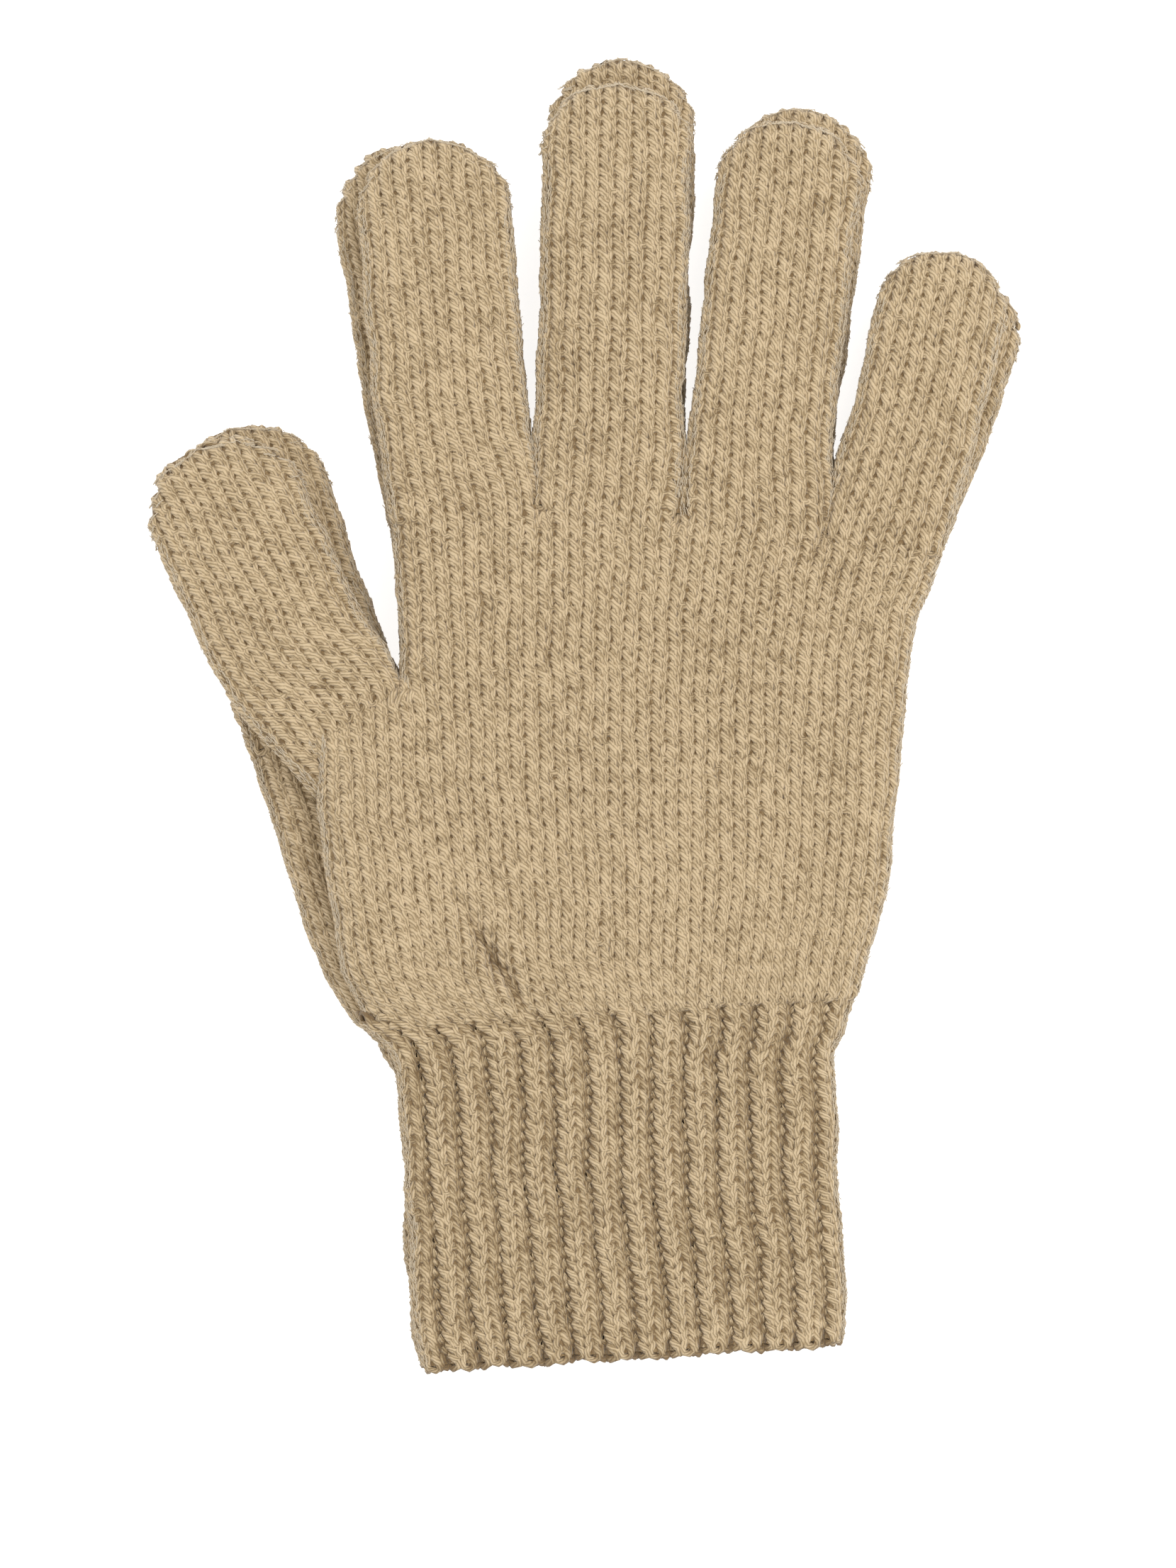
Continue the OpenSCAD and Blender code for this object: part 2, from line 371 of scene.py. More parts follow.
class Digit(Surface):
    """A finger or the thumb: u across one face, v from its bend to its tip."""

    WIDTH = {"thumb": 29.2, "index": 27.8, "middle": 27.0, "ring": 25.8, "little": 23.2}
    WALES = {"thumb": 11, "index": 11, "middle": 10, "ring": 10, "little": 9}
    # how much further the base reaches to the left and the right than half the width
    SPREAD = {
        "thumb": (0, 0.7),
        "index": (-0.8, 0.4),
        "middle": (0.6, 1.0),
        "ring": (1.4, 0.6),
        "little": (1.4, -2.2),
    }
    LOWER_SPREAD = {**SPREAD, "thumb": (1.4, 0.7)}
    # how far a digit stands to the left, past its base
    SHIFT = {"thumb": 0.5, "index": 0.3, "middle": 0.3, "ring": 0.8, "little": 0.8}
    TIP_PAST_CAD = {"thumb": 0.6, "index": -0.4, "middle": -0.4, "ring": -0.4, "little": -0.4}
    # how far up a digit each of these reaches
    ROOT = 26.0  # its base's spread
    SETTLING = 20.0  # its wales' way from the palm's places to their own
    TURNING = 18.0  # its wales' way from the palm's direction to their own
    RISING = 24.0  # the unevenness of its first row
    FLAT = 16.0  # the palm's flatter profile
    BELOW_BEND = 8  # courses of the tucked thumb that lie behind the palm
    BEYOND = 2.6  # width of a wale past the outermost ones

    def __init__(self, glove, name, palm):
        self.g, self.name = glove, name
        self.tucked = name == "thumb" and glove.upper  # it comes out from behind the palm's fold
        self.base, self.lean = place(f"{glove.name}_{name}_bend")
        self.half = self.WIDTH[name] / 2
        self.spread = (self.SPREAD if glove.upper else self.LOWER_SPREAD)[name]
        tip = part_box(digit_node(glove.name, name))[1].y / MM - self.base[1] + self.TIP_PAST_CAD[name]
        self.straight = (tip - self.half) / math.cos(self.lean)  # from the bend to where the tip rounds off
        self.fold = Fold(half=DIGIT_HALF, span=self.half, power=2.7)
        self.fabric = self.half + self.fold.extra
        self.n = self.WALES[name]
        self.at_middle = np.linspace(-self.fabric, self.fabric, self.n + 1)
        self.take_up(palm)
        if self.tucked:
            rows = np.linspace(0, CROTCH_ROW, 40)
            edge = palm.plan(np.full(40, float(glove.first)), rows)
            self.palm_fold = edge[np.argsort(edge[:, 1])]

    def palm_wales(self):
        """The palm's wales that run on into the digit, and the course at which they leave the palm."""
        if self.name == "thumb":
            # a thumb that isn't tucked has its own fold where the palm has one
            return np.arange(self.g.first + (0 if self.g.upper else 1), FINGER_START + 1), CROTCH_ROW
        i = DIGITS.index(self.name)
        first, last = math.ceil(KNUCKLES[i - 1] + 0.2), math.floor(KNUCKLES[i] - 0.2)
        return np.arange(first, last + 1), KNUCKLE_ROW

    def take_up(self, palm):
        """Start the digit's wales where the palm's end, and the same way, with new ones at its sides."""
        lines, row = self.palm_wales()
        left_wale = palm.left_wale(row)
        flat, below = (
            palm.folded(lines.astype(float), np.full(len(lines), float(course)), 1, left_wale)[0]
            for course in (row, row - 2)
        )
        local = turned(flat - self.base, -self.lean)
        left, right = self.edges(np.zeros(len(lines)))
        x = (local[:, 0] - (right - left) / 2) * 2 * self.half / (left + right)
        keep = np.abs(x) < self.half - 0.15
        x, local = x[keep], local[keep]
        run = np.interp(self.half - np.abs(x), self.fold.inward, self.fold.run)
        across = np.sign(x) * (self.fabric - run)
        extra = self.n + 1 - len(across)
        room = [across[0] + self.fabric, self.fabric - across[-1]]
        self.on_left = int(np.clip(round(extra * room[0] / sum(room)), 1, extra - 1))
        first = np.linspace(-self.fabric, across[0], self.on_left + 1)[:-1]
        last = np.linspace(across[-1], self.fabric, extra - self.on_left + 1)[1:]
        self.at_base = np.concatenate([first, across, last])
        slope = np.polyfit(across, local[:, 1], 1)
        self.start = np.concatenate([np.polyval(slope, first), local[:, 1], np.polyval(slope, last)])
        way = turned(flat - below, -self.lean)[keep]
        turn = way[:, 0] / way[:, 1]
        self.turn = np.interp(
            np.arange(self.n + 1),
            np.concatenate([[0], self.on_left + np.arange(len(across)), [self.n]]),
            np.concatenate([[0], turn, [0 if self.name == "thumb" else turn[-1]]]),
        )

    def edges(self, along):
        """How far the digit reaches to the left and to the right of its middle line."""
        root = smooth(1 - along / self.ROOT)
        left, right = (self.half + s * root for s in self.spread)
        if self.tucked:
            # its lower part slants in behind the palm
            d = 13 - along
            left = left - 0.18 * (d + np.sqrt(d * d + 9))
        return left, right

    def point(self, u, v, side):
        along = v * COURSE
        k = np.arange(self.n + 1)
        inside = np.clip(u, 0, self.n)
        settled = smooth(along / self.SETTLING)
        at_base, at_middle = np.interp(inside, k, self.at_base), np.interp(inside, k, self.at_middle)
        across = at_base * (1 - settled) + at_middle * settled
        across = across + (u - inside) * self.BEYOND
        over = np.maximum(along - self.straight, 0)
        reach = np.hypot(across, over)
        inward, height = self.fold.at(self.fabric - reach)
        out = self.half - inward
        share = np.where(reach > 1e-6, out / np.maximum(reach, 1e-6), 1.0)
        left, right = self.edges(along)
        x = across * share * (left + right) / (2 * self.half) + (right - left) / 2
        x = x - self.SHIFT[self.name] * settled
        bending = np.clip(along / self.TURNING, 0, 1)
        x = x + np.interp(inside, k, self.turn) * self.TURNING * bending * (1 - bending) ** 2
        y = np.minimum(along, self.straight) + over * share
        y = y + np.interp(inside, k, self.start) * smooth(1 - along / self.RISING)
        rho = np.clip(np.abs(out) / self.half, 0, 1)
        flat = smooth(1 - along / self.FLAT)
        full = np.sign(height) * DIGIT_HALF * np.sqrt(np.clip(1 - rho**9, 0, 1))
        height = height * (1 - flat) + full * flat
        p = turned(np.column_stack([x, y]), self.lean) + self.base
        z = side * height + self.g.relief(p[:, 0], p[:, 1], side) * np.clip(height / DIGIT_HALF, 0, 1)
        p = self.g.uneven(p)
        if self.tucked and side > 0:
            # the thumb's far side comes out from behind the fold of the palm
            fold = np.interp(p[:, 1], self.palm_fold[:, 1], self.palm_fold[:, 0])
            behind = smooth((p[:, 0] - fold + 5.0) / 6.0) * smooth((-2.5 - p[:, 1]) / 9.0)
            z = z - 3.2 * behind * (u <= self.on_left + 0.6)
        return np.column_stack([p, self.g.mid + z])

    def closes(self, v):
        return v * COURSE > self.straight

    def rows(self):
        v = -self.BELOW_BEND if self.tucked else 0
        middles = (self.at_middle[:-1] + self.at_middle[1:]) / 2
        while True:
            v += 1
            over = max(v * COURSE - self.straight, 0)
            if over > self.fabric - 0.5 * COURSE:
                return
            keep = np.nonzero(np.abs(middles) < math.sqrt(self.fabric**2 - over**2))[0]
            first, last = (0, self.n) if over == 0 else (keep[0], keep[-1] + 1)
            if v <= 0:
                last = self.on_left  # only the wales behind the palm's fold start below the bend
            yield float(v), float(first), float(last)


class Cuff(Surface):
    """The ribbed cuff: u across one face, v from the mouth up to the wrist."""

    RIB = [0.0, 0.50, 0.80, 1.0]  # where the two knit wales and the purl wale of a rib meet
    HALF = 40.8
    FLARE = {"upper": 1.2, "lower": 2.8}  # how much further its top reaches on the thumb's side
    FLARE_RIGHT = 3.4
    WIDER_ABOVE = (4.0, 1.3)  # how much further still, left and right, 4 mm above the wrist

    def __init__(self, glove):
        self.g = glove
        self.fold = Fold(half=CUFF_HALF, span=5.0, power=2.4)

    def ribs(self, u):
        """How many ribs lie to the left of u."""
        whole = np.floor(u / 3)
        return whole + np.interp(u - 3 * whole, range(4), self.RIB)

    def wave(self, u):
        """The ribs: one wale stands up, the next sinks beside it, and the purl wale lies deep."""
        in_rib = self.ribs(u) % 1.0
        from_purl = np.abs((in_rib - 0.90 + 0.5) % 1.0 - 0.5)
        return 0.6 - 1.5 * bell(from_purl, 0.14) - 0.8 * bell(in_rib - 0.66, 0.13)

    def painted_shade(self, u, v, p, side):
        # Painted shade: the ribs' valleys and sunken wale are painted darker, fading out in the top courses.
        return 0.42 * (self.wave(u) - 0.5) * smooth((CUFF_ROWS - v + 2.5) / 2)

    def point(self, u, v, side):
        down = (CUFF_ROWS - v) * CUFF_COURSE
        flare = smooth(1 - down / 8)
        # it narrows a little all the way down, and more at the mouth
        half = self.HALF - 0.5 * smooth(down / 60) - 1.2 * np.clip((down - 53) / 8, 0, 1) ** 2
        above = np.clip(-down / 4, 0, 1.5)
        left = half + self.FLARE[self.g.name] * flare + self.WIDER_ABOVE[0] * above
        right = half + self.FLARE_RIGHT * flare + self.WIDER_ABOVE[1] * above
        fabric = half + self.fold.extra
        share = self.ribs(u) / self.ribs(np.array([CUFF_WALES]))[0]
        across = (2 * share - 1) * fabric
        inward, height = self.fold.at(fabric - np.abs(across))
        x = np.sign(across) * (half - inward) * (left + right) / (2 * half) + (right - left) / 2
        sway = 0.5 * ripple(x * 0.3, down, self.g.seed + 5, 30)
        p = turned(np.column_stack([x + sway, -down]), self.g.cuff_lean) + self.g.wrist
        deep = 0.9 * smooth((down + 5) / 3) * (1 + 0.25 * ripple(x, down, self.g.seed + 6, 30))
        z = side * (height + deep * self.wave(u) * np.clip(height / CUFF_HALF, 0, 1))
        z = z + 0.5 * self.g.relief(p[:, 0], p[:, 1], side)
        return np.column_stack([self.g.uneven(p), self.g.mid + z])

    def purl(self, wale):
        return np.floor(wale) % 3 == 2

    def rows(self):
        for v in range(CUFF_ROWS + RIBS_UP + 1):
            yield float(v), 0.0, CUFF_WALES


class CuffEdge(Surface):
    """The cast-on edge, which rolls from the outside of the cuff into its mouth."""

    ROLL = 0.5
    TURN = 2  # courses round the roll

    def __init__(self, cuff):
        self.cuff, self.g = cuff, cuff.g

    def point(self, u, v, side):
        turn = np.pi * np.clip(-v / self.TURN, -0.2, 1.2)
        p = self.cuff.point(u, np.zeros_like(v), side)
        down = turned(np.array([[0.0, -1.0]]), self.g.cuff_lean)[0]
        scallop = 1 + 0.22 * np.cos(2 * np.pi * (self.cuff.ribs(u) - 0.36))
        from_mid = np.abs(p[:, 2] - self.g.mid)
        r = self.ROLL * scallop * (0.45 + 0.55 * np.clip(from_mid / CUFF_HALF, 0, 1))
        p[:, :2] += down * (r * np.sin(turn))[:, None] * 1.2
        p[:, 2] -= side * r * (1 - np.cos(turn)) * np.clip(from_mid / 1.6, 0.2, 1)
        return p

    def painted_shade(self, u, v, p, side):
        # Painted shade: the edge takes the cuff's painted shade of its first course.
        return self.cuff.painted_shade(u, 0 * v, p, side)

    def rows(self):
        for v in range(-self.TURN, 0):
            yield float(v), 0.0, CUFF_WALES


class Sheet:
    """One face of a surface, worked out once on a fine grid: points and outward normals."""

    STEP = 0.25

    def __init__(self, surface, side):
        self.surface, self.side = surface, side
        rows = list(surface.rows())
        self.u0 = min(r[1] for r in rows) - 1
        self.v0 = min(r[0] for r in rows) - 1.5
        u = np.arange(self.u0, max(r[2] for r in rows) + 1.01, self.STEP)
        v = np.arange(self.v0, max(r[0] for r in rows) + 1.51, self.STEP)
        grid = [surface.point(u, np.full_like(u, line), side) for line in v]
        self.p = np.stack(grid, 1)
        du, dv = np.gradient(self.p, axis=0), np.gradient(self.p, axis=1)
        n = np.cross(du, dv) * side
        self.n = n / (np.linalg.norm(n, axis=2)[..., None] + 1e-12)

    def at(self, u, v):
        a = np.clip((u - self.u0) / self.STEP, 0, self.p.shape[0] - 1.001)
        b = np.clip((v - self.v0) / self.STEP, 0, self.p.shape[1] - 1.001)
        i, j = a.astype(int), b.astype(int)
        a, b = (a - i)[:, None], (b - j)[:, None]
        corners = ((0, 0, (1 - a) * (1 - b)), (1, 0, a * (1 - b)), (0, 1, (1 - a) * b), (1, 1, a * b))
        p = sum(self.p[i + di, j + dj] * w for di, dj, w in corners)
        n = sum(self.n[i + di, j + dj] * w for di, dj, w in corners)
        return p, n / (np.linalg.norm(n, axis=1)[:, None] + 1e-12)


# ---------------------------------------------------------------- yarn


class Yarn:
    """Tubes of yarn, gathered into one mesh."""

    STRIP = 4 * STEPS  # rings in one strip of the map for baking
    STRIP_SHAPE = 7.0  # how many times as long as wide a strip is there
    PAD = 0.06  # room round a strip, as a share of it
    BACKS_SHARE = 0.04  # the matted strips' part of that map, below the yarn's

    def __init__(self):
        self.rings, self.counts, self.lengths, self.heights, self.strips = [], [], [], [], []

    def add(self, path, normal, radius, height=0.5):
        """Sweep yarn along a path. Its height over the fabric's middle sets how much painted shade darkens
        it.
        """
        ahead = np.gradient(path, axis=0)
        ahead /= np.linalg.norm(ahead, axis=1)[:, None] + 1e-12
        up = normal - (normal * ahead).sum(1)[:, None] * ahead
        up /= np.linalg.norm(up, axis=1)[:, None] + 1e-12
        across = np.cross(ahead, up)
        turn = 2 * np.pi * np.arange(SIDES) / SIDES
        ring = (
            up[:, None, :] * np.cos(turn)[None, :, None] * 0.92
            + across[:, None, :] * np.sin(turn)[None, :, None]
        )
        ring = ring * np.broadcast_to(radius, len(path))[:, None, None]
        outward = (ring * normal[:, None, :]).sum(2)
        self.rings.append(path[:, None, :] + ring)
        self.heights.append(np.broadcast_to(height, len(path))[:, None] + outward)
        self.counts.append(len(path))
        steps = np.linalg.norm(np.diff(path, axis=0), axis=1)
        self.lengths.append(np.concatenate([[0], np.cumsum(steps)]))

    def back(self, sheet, v, first, last):
        """A strip of matted fibres in the fabric, behind one row of stitches; it fills the gaps between them
        and gets their painted shade.
        """
        u = np.linspace(first, last, 4 * int(round(last - first)) + 1)
        lines = []
        for line in (v - 0.55, v + 0.55):
            p, n = sheet.at(u, np.full_like(u, line))
            lines.append(p + BACK_LIFT * n)
        self.strips.append(np.stack(lines if sheet.side < 0 else lines[::-1]))

    def build(self, name, material):
        """One mesh of the tubes, their caps, and the strips behind them."""
        rings, counts = np.concatenate(self.rings), np.array(self.counts)
        starts = np.cumsum(counts) - counts
        ends = starts + counts - 1
        goes_on = np.ones(len(rings), bool)
        goes_on[ends] = False
        r = np.nonzero(goes_on)[0]
        s = np.arange(SIDES)
        this, ahead = r[:, None] * SIDES, (r[:, None] + 1) * SIDES
        beside = (s + 1) % SIDES
        quads = np.stack([this + s, this + beside, ahead + beside, ahead + s], -1).reshape(-1, 4)
        caps = np.concatenate([starts[:, None] * SIDES + s[::-1], ends[:, None] * SIDES + s])
        backs, back_uvs = self._backs(len(rings) * SIDES)
        points = np.concatenate([rings.reshape(-1, 3)] + [strip.reshape(-1, 3) for strip in self.strips])
        faces = [quads, caps] + backs
        sizes = np.concatenate([np.full(len(f), f.shape[1]) for f in faces])

        mesh = bpy.data.meshes.new(name)
        mesh.vertices.add(len(points))
        mesh.vertices.foreach_set("co", (points * MM).astype(np.float32).ravel())
        mesh.loops.add(int(sizes.sum()))
        mesh.loops.foreach_set("vertex_index", np.concatenate([f.ravel() for f in faces]).astype(np.int32))
        mesh.polygons.add(len(sizes))
        mesh.polygons.foreach_set("loop_start", (np.cumsum(sizes) - sizes).astype(np.int32))
        mesh.update(calc_edges=True)
        mesh.shade_smooth()
        height = np.full(len(points), BACK_HEIGHT)
        height[: len(rings) * SIDES] = np.concatenate(self.heights).ravel()
        layer = mesh.attributes.new("Height", "FLOAT", "POINT")
        layer.data.foreach_set("value", height.astype(np.float32))

        # "Yarn" runs along and round the yarn.
        run = np.concatenate(self.lengths)
        along = np.stack([run[r], run[r], run[r + 1], run[r + 1]], -1)[:, None, :].repeat(SIDES, 1)
        around = np.stack([s, s + 1, s + 1, s], -1)[None].repeat(len(r), 0) / SIDES
        cap_uv = np.zeros((caps.size, 2))
        yarn_uv = np.stack([along, around], -1).reshape(-1, 2)
        self._uv(mesh, "Yarn", np.concatenate([yarn_uv, cap_uv] + back_uvs))

        # "OFBake" lays the yarn out in short strips that don't overlap, above the matted strips.
        floor = self.BACKS_SHARE if backs else 0.0
        shrink = np.array([1 / (1 + max((len(b) for b in backs), default=1)), floor])
        bake_uv = self._strips_uv(starts, counts, r, floor)
        self._uv(mesh, "OFBake", np.concatenate([bake_uv, cap_uv] + [uv * shrink for uv in back_uvs]))

        piece = bpy.data.objects.new(name, mesh)
        bpy.context.scene.collection.objects.link(piece)
        mesh.materials.append(material)
        return piece

    def _backs(self, at):
        """The strips' faces, whose points are numbered from at, and their corners' places in the map."""
        faces, uvs = [], []
        for i, strip in enumerate(self.strips):
            m = strip.shape[1]
            k = at + np.arange(m - 1)
            faces.append(np.stack([k, k + 1, k + m + 1, k + m], -1))
            across = np.arange(m - 1.0)
            low, high = (i + 0.1) / len(self.strips), (i + 0.9) / len(self.strips)
            corners = [(across, low), (across + 1, low), (across + 1, high), (across, high)]
            uv = np.stack([np.stack([a, np.full(m - 1, b)], -1) for a, b in corners], 1)
            uvs.append(uv.reshape(-1, 2))
            at += 2 * m
        return faces, uvs

    def _strips_uv(self, starts, counts, r, floor):
        """The corners of the tubes' faces when the tubes are cut in strips and laid out in a grid."""
        local = np.arange(counts.sum()) - np.repeat(starts, counts)
        strips = -(-counts // self.STRIP)  # in each tube
        cell = (np.repeat(np.cumsum(strips) - strips, counts) + local // self.STRIP)[r]
        columns = max(1, round(math.sqrt(strips.sum() / self.STRIP_SHAPE)))
        lines = -(-strips.sum() // columns)

        def across(ring):
            u = (cell % columns + self.PAD / 4 + ring / self.STRIP * (1 - self.PAD)) / columns
            return u[:, None].repeat(SIDES, 1)

        def up(side):
            v = (cell[:, None] // columns + self.PAD + side / SIDES * (1 - 2 * self.PAD)) / lines
            return floor + (1 - floor) * v

        ring, side = (local % self.STRIP)[r], np.arange(SIDES)
        u0, u1, v0, v1 = across(ring), across(ring + 1), up(side), up(side + 1)
        corners = [(u0, v0), (u0, v1), (u1, v1), (u1, v0)]
        return np.stack([np.stack(corner, -1) for corner in corners], 2).reshape(-1, 2)

    @staticmethod
    def _uv(mesh, name, uv):
        layer = mesh.uv_layers.new(name=name)
        layer.data.foreach_set("uv", uv.astype(np.float32).ravel())


def knit_row(yarn, sheet, v, first, last, rng, purl=None):
    """One row of stitches from wale first to wale last, as seen from outside."""
    side = sheet.side
    count = last - first
    t = np.linspace(0, count, max(2, int(round(count * STEPS)) + 1))
    turn = 2 * np.pi * t
    up = -np.cos(turn)
    anchors = np.arange(int(2 * count) + 3) * 0.5
    changes = rng.normal(0, 1, (4, len(anchors)))
    jx, jy, jz, jr = (size * np.interp(t, anchors, j) for size, j in zip(JITTER, changes))
    bulge, skew, bias = PLAIN_LOOP if purl is None else RIB_LOOP
    place_t = t + bulge * np.sin(2 * turn) - skew * up + jx
    along = LOOP_REACH * up + jy
    out = -LOOP_DEPTH * np.cos(2 * turn) - LOOP_SHINGLE * up + jz
    u = first + place_t if side > 0 else last - place_t
    if purl is not None:
        # a purl stitch is a knit stitch seen from behind; the yarn goes through the fabric between the two
        wale = first + t if side > 0 else last - t
        to_edge = np.abs(wale - np.round(wale))
        face = np.where(purl(wale), -1.0, 1.0)
        same = purl(wale - 0.5 + 1e-6) == purl(wale + 0.5 - 1e-6)
        out = out * np.where(same, face, face * smooth(to_edge / 0.22))
    p, n = sheet.at(u, v + along)
    radius = YARN_R * (1 + bias * np.cos(turn - np.pi / 2)) * (1 + jr)
    # The height handed on sets the yarn's painted shade: its own height over the fabric's middle, lowered
    # where the surface paints shade.
    yarn.add(p + n * out[:, None], n, radius, out + sheet.surface.painted_shade(u, v + along, p, side))


def fuzz(yarn, sheet, u, v, du, dv, rng):
    """Stray fibres matted on the fabric at u, v. They run the way du, dv points."""
    start, out = sheet.at(u, v)
    there, _ = sheet.at(u + 0.5 * du, v + 0.5 * dv)
    back, _ = sheet.at(u - 0.5 * du, v - 0.5 * dv)
    t = np.linspace(0, 1, 5)[:, None] - 0.5
    for p, n, way in zip(start, out, there - back):
        way = way / (np.linalg.norm(way) + 1e-9) * rng.uniform(0.6, 2.0)
        slant, curl = rng.normal(0, 0.22, 3), rng.normal(0, 0.5, 3)
        lift = rng.uniform(0.95, 1.18)
        path = p + n * lift + t * (way + slant) + t * t * curl
        yarn.add(path, np.tile(rng.normal(0, 1, 3), (5, 1)), FIBRE_R, FIBRE_HEIGHT)


def fuzz_folds(yarn, sheet, rows, rng):
    """Fibres along both folds, and round the tip of a digit."""
    for i, (v, first, last) in enumerate(rows):
        if not sheet.surface.closes(v):
            for edge, way in ((first, 1), (last, -1)):
                u = edge + way * rng.uniform(0.25, 0.8, FUZZ)
                fuzz(yarn, sheet, u, v + rng.uniform(-0.5, 0.5, FUZZ), 0, 1, rng)
            continue
        middle = (first + last) / 2
        left, right = rows[i + 1][1:] if i + 1 < len(rows) else (middle, middle)
        for a, b, way in ((first, max(left, first + 0.6), 1), (min(right, last - 0.6), last, -1)):
            count = int(FUZZ * (b - a) * 1.3)
            u = rng.uniform(a, b, count)
            inward = ((u - a) if way > 0 else (b - u)) / (b - a)
            fuzz(yarn, sheet, u, v - 0.6 + inward, 1, way * 0.6, rng)


def knitted(name, surface, material, seed, purl=None):
    """A whole piece of knitting, both faces. Wales for which purl says so are purl."""
    yarn = Yarn()
    rng = np.random.default_rng(seed)
    rows = list(surface.rows())
    for side in (1, -1):
        sheet = Sheet(surface, side)
        for v, first, last in rows:
            knit_row(yarn, sheet, v, first, last, rng, purl)
            yarn.back(sheet, v, first, last)
        fuzz_folds(yarn, sheet, rows, rng)
    return yarn.build(name, material)


# ---------------------------------------------------------------- material


def wool(name, colour):
    """Spun wool: its strands' grooves, its fibres' colours, painted shade in the grooves and between the
    stitches, and painted highlight on their crests.
    """
    m = bpy.data.materials.new(name)
    m.use_nodes = True
    nodes, links = m.node_tree.nodes, m.node_tree.links
    bsdf = nodes["Principled BSDF"]
    bsdf.inputs["Roughness"].default_value = 0.92
    bsdf.inputs["Sheen Weight"].default_value = 0.25
    bsdf.inputs["Sheen Roughness"].default_value = 0.6
    bsdf.inputs["Specular IOR Level"].default_value = 0.15

    def math_node(op, *values):
        n = nodes.new("ShaderNodeMath")
        n.operation = op
        for socket, value in zip(n.inputs, values):
            if isinstance(value, (int, float)):
                socket.default_value = value
            else:
                links.new(value, socket)
        return n.outputs[0]

    def noise(vector, scale, detail, rough=0.6):
        n = nodes.new("ShaderNodeTexNoise")
        n.inputs["Scale"].default_value = scale
        n.inputs["Detail"].default_value = detail
        n.inputs["Roughness"].default_value = rough
        links.new(vector, n.inputs["Vector"])
        return n.outputs["Fac"]

    uv = nodes.new("ShaderNodeUVMap")
    uv.uv_map = "Yarn"
    split = nodes.new("ShaderNodeSeparateXYZ")
    links.new(uv.outputs["UV"], split.inputs[0])
    along, around = split.outputs["X"], split.outputs["Y"]
    place_of = nodes.new("ShaderNodeTexCoord").outputs["Object"]

    # The yarn is spun from many strands: their grooves run slantwise round it.
    twist, strands = 1.35, 6.0  # millimetres along and times round
    phase = math_node("ADD", math_node("MULTIPLY", along, 1 / twist), math_node("MULTIPLY", around, strands))
    phase = math_node("ADD", phase, math_node("MULTIPLY", noise(place_of, 700, 2), 0.9))
    ridge = math_node("ABSOLUTE", math_node("SINE", math_node("MULTIPLY", phase, math.pi)))
    groove = math_node("POWER", math_node("SUBTRACT", 1.0, ridge), 1.2)
    # Fibres: fine streaks that follow the twist.
    streak = nodes.new("ShaderNodeCombineXYZ")
    links.new(math_node("MULTIPLY", phase, 2.2), streak.inputs["X"])
    links.new(math_node("MULTIPLY", along, 0.35), streak.inputs["Y"])
    fibre = noise(streak.outputs[0], 3.0, 3)
    fuzzy = noise(place_of, 3200, 3, 0.7)
    marl = noise(place_of, 520, 3, 0.55)
    patch = noise(place_of, 45, 2, 0.5)

    # Painted shade and highlight: the lower a place's "Height", the darker it is painted, and the yarn's
    # crests are painted lighter.
    height = nodes.new("ShaderNodeAttribute")
    height.attribute_name = "Height"
    stray = math_node("GREATER_THAN", height.outputs["Fac"], FIBRE_HEIGHT - 1)
    painted_height_shade = nodes.new("ShaderNodeMapRange")
    painted_height_shade.interpolation_type = "SMOOTHSTEP"
    links.new(height.outputs["Fac"], painted_height_shade.inputs["Value"])
    for socket, value in (("From Min", -0.3), ("From Max", 1.15), ("To Min", -0.80), ("To Max", 0.42)):
        painted_height_shade.inputs[socket].default_value = value

    # Painted shade: the strands' grooves and the low places are painted darker; marl, fibre streaks, fuzz
    # and patches are the wool's own uneven colour.
    shade = math_node("MULTIPLY_ADD", groove, -0.62, painted_height_shade.outputs[0])
    for pattern, weight in ((marl, 1.20), (fibre, 0.40), (fuzzy, 0.30), (patch, 0.20)):
        shade = math_node("ADD", shade, math_node("MULTIPLY_ADD", pattern, weight, -weight / 2))
    ramp = nodes.new("ShaderNodeValToRGB")
    # The ramp's dark end carries painted shade and its light end painted highlight, with the wool's own
    # uneven colour spread between.
    dark, middle, light = (0.56, 0.49, 0.40), (1, 1, 1), (1.64, 1.74, 1.98)  # shares of the colour
    stops = ramp.color_ramp.elements
    stops.new(0.5)
    for stop, at, shares in zip(stops, (0.0, 0.5, 1.0), (dark, middle, light)):
        stop.position = at
        stop.color = (*(min(1, c * f) for c, f in zip(colour, shares)), 1)
    links.new(math_node("ADD", shade, 0.56), ramp.inputs["Fac"])
    pale = nodes.new("ShaderNodeMix")
    pale.data_type = "RGBA"
    pale.inputs["B"].default_value = FIBRE_COLOUR
    links.new(stray, pale.inputs["Factor"])
    links.new(ramp.outputs["Color"], pale.inputs["A"])
    links.new(pale.outputs["Result"], bsdf.inputs["Base Color"])

    relief = math_node("MULTIPLY_ADD", groove, -1.0, math_node("MULTIPLY", fibre, 0.5))
    relief = math_node("ADD", relief, math_node("MULTIPLY", fuzzy, 0.4))
    relief = math_node("MULTIPLY", relief, math_node("SUBTRACT", 1.0, stray))
    bump = nodes.new("ShaderNodeBump")
    bump.inputs["Strength"].default_value = 1.0
    bump.inputs["Distance"].default_value = 0.00012
    links.new(relief, bump.inputs["Height"])
    links.new(bump.outputs["Normal"], bsdf.inputs["Normal"])
    return m


PLAIN = wool("plain_knit_wool", WOOL)
RIB = wool("rib_knit_wool", WOOL)
CLOSING = wool("closing_yarn_wool", WOOL)


# ---------------------------------------------------------------- gloves


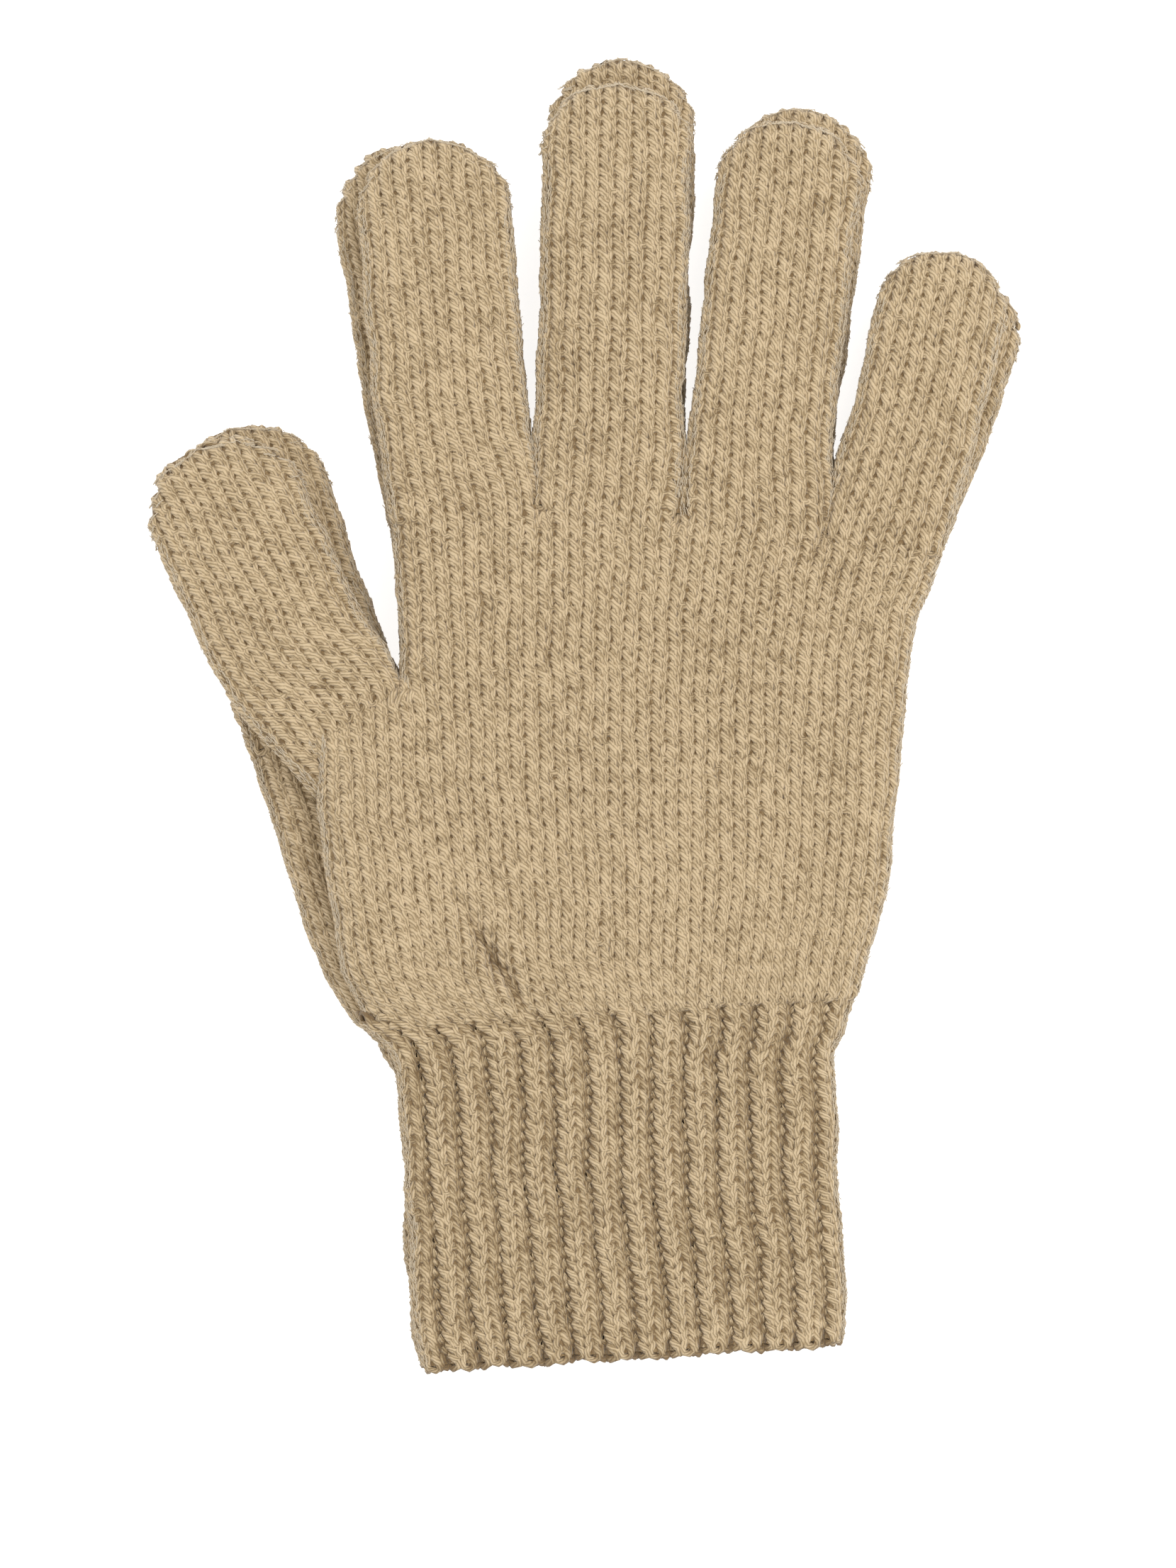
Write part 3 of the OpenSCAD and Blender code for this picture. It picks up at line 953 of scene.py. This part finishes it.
def direction(lean):
    """Along a piece, away from the wrist."""
    return np.array([-math.sin(lean), math.cos(lean)])


def bend_between(piece, base, way, span):
    """Bakes the piece's place into its mesh; it does not turn the fabric between the hand and a digit or the
    cuff.
    """
    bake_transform(piece)


def crotch_stitches(glove, palm):
    """Three loops of closing yarn across each crotch, on both faces."""
    yarn = Yarn()
    rng = np.random.default_rng(glove.seed + 90)
    spots = [(FINGER_START + 0.1, CROTCH_ROW - 0.6)] + [(u, KNUCKLE_ROW - 0.9) for u in KNUCKLES[1:-1]]
    t = np.linspace(-1, 1, 13)
    for wale, row in spots:
        for side in (1, -1):
            at = palm.point(np.array([wale]), np.array([row]), side)[0]
            out = np.array([0.0, 0.0, float(side)])
            for to_right in (-1.75, 0.0, 1.75):
                angle = math.radians(rng.uniform(38, 66))
                reach = rng.uniform(1.5, 2.0)
                x = to_right + reach * t * math.cos(angle)
                y = rng.uniform(-0.9, 0.3) + reach * t * math.sin(angle) + 0.35 * (1 - t**2)
                z = side * (0.75 - 1.5 * t**4)
                path = np.column_stack([at[0] + x, at[1] + y, at[2] + z])
                yarn.add(path, np.tile(out, (len(t), 1)), YARN_R * rng.uniform(0.82, 1.0))
    return yarn.build(f"{glove.name}_crotch_stitches_yarn", CLOSING)


def tip_stitches(glove, digit):
    """The yarn drawn through the last loops of a digit, along the edge of its tip."""
    waves = 26  # in a full turn
    yarn = Yarn()
    a = np.linspace(math.radians(28), math.radians(152), 60)
    r = digit.half - 0.5 + 0.35 * np.sin(a * waves)
    x, y = r * np.cos(a), digit.straight + r * np.sin(a)
    z = glove.mid + 0.55 * np.cos(a * waves)
    p = turned(np.column_stack([x, y]), digit.lean) + digit.base
    outward = turned(np.column_stack([np.cos(a), np.sin(a)]), digit.lean)
    path = np.column_stack([p, z])
    yarn.add(path, np.column_stack([outward, np.zeros(len(a))]), YARN_R * 0.8)
    return yarn.build(f"{glove.name}_{digit.name}_tip_yarn", CLOSING)


def make_glove(name):
    glove = Glove(name)
    palm = Palm(glove)
    hand = knitted(name + "_hand_knit", palm, PLAIN, glove.seed)
    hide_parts(name + "_hand")
    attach(hand, glove.body + "hand")
    for i, digit_name in enumerate(DIGITS):
        digit = Digit(glove, digit_name, palm)
        node = digit_node(name, digit_name)
        piece = knitted(node + "_knit", digit, PLAIN, glove.seed + 1 + i)
        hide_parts(node)
        bend_between(piece, digit.base, direction(digit.lean), DIGIT_TURN)
        tip = tip_stitches(glove, digit)
        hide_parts(f"{name}_{digit_name}_tip_stitch")
        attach(tip, glove.body + digit_name)
    cuff = Cuff(glove)
    ribs = knitted(name + "_cuff_knit", cuff, RIB, glove.seed + 7, cuff.purl)
    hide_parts(name + "_cuff")
    bend_between(ribs, glove.wrist, -direction(glove.cuff_lean), CUFF_TURN)
    edge = knitted(name + "_cuff_edge_knit", CuffEdge(cuff), RIB, glove.seed + 8)
    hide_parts(name + "_cuff_edge")
    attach(edge, glove.body + "cuff")
    closing = crotch_stitches(glove, palm)
    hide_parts(name + "_crotch_stitches")
    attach(closing, glove.body + "hand")


make_glove("lower")
make_glove("upper")


# ---------------------------------------------------------------- studio, where lengths are in metres


FLOOR_REACH = 1.5
KEY_AT = (0.40, 0.35, 1.05)
KEY_SIDE = 0.7
KEY_WATTS = 5
EYE = (-0.0004, -0.0136, 1.7)
GLOVES_TOP = 0.015  # height at which the camera's frame is measured
FRAME_HEIGHT = 0.3  # what the camera sees there, from top to bottom
SENSOR = 36  # in millimetres, as Blender has it


def white_floor():
    """A plain floor, bright enough to stay white in soft shade."""
    mesh = bpy.data.meshes.new("floor")
    corners = [(x * FLOOR_REACH, y * FLOOR_REACH, 0) for x, y in ((-1, -1), (1, -1), (1, 1), (-1, 1))]
    mesh.from_pydata(corners, [], [(0, 1, 2, 3)])
    floor = bpy.data.objects.new("floor", mesh)
    bpy.context.scene.collection.objects.link(floor)
    paint = bpy.data.materials.new("floor_white")
    paint.use_nodes = True
    bsdf = paint.node_tree.nodes["Principled BSDF"]
    bsdf.inputs["Base Color"].default_value = (0.50, 0.50, 0.50, 1)
    bsdf.inputs["Roughness"].default_value = 0.9
    bsdf.inputs["Specular IOR Level"].default_value = 0.1
    bsdf.inputs["Emission Color"].default_value = (1, 1, 1, 1)
    bsdf.inputs["Emission Strength"].default_value = 0.8
    mesh.materials.append(paint)


def lights():
    """White light from all round, and a soft lamp from the upper right."""
    world = bpy.data.worlds.new("studio")
    world.use_nodes = True
    sky = world.node_tree.nodes["Background"]
    sky.inputs["Color"].default_value = (1, 1, 1, 1)
    sky.inputs["Strength"].default_value = 1.0
    bpy.context.scene.world = world

    key = bpy.data.lights.new("key", "AREA")
    key.shape = "RECTANGLE"
    key.size, key.size_y = KEY_SIDE, KEY_SIDE
    key.energy = KEY_WATTS
    lamp = bpy.data.objects.new("key", key)
    lamp.location = KEY_AT
    lamp.rotation_mode = "QUATERNION"
    lamp.rotation_quaternion = (-Vector(KEY_AT)).to_track_quat("-Z", "Y")
    bpy.context.scene.collection.objects.link(lamp)


def camera():
    """It looks straight down on the pair."""
    cam = bpy.data.cameras.new("camera")
    cam.sensor_width = SENSOR
    cam.lens = SENSOR * (EYE[2] - GLOVES_TOP) / FRAME_HEIGHT
    cam.clip_start, cam.clip_end = 0.1, 10
    eye = bpy.data.objects.new("camera", cam)
    eye.location = EYE
    bpy.context.scene.collection.objects.link(eye)
    bpy.context.scene.camera = eye


white_floor()
lights()
camera()
bpy.context.scene.view_settings.view_transform = "Standard"
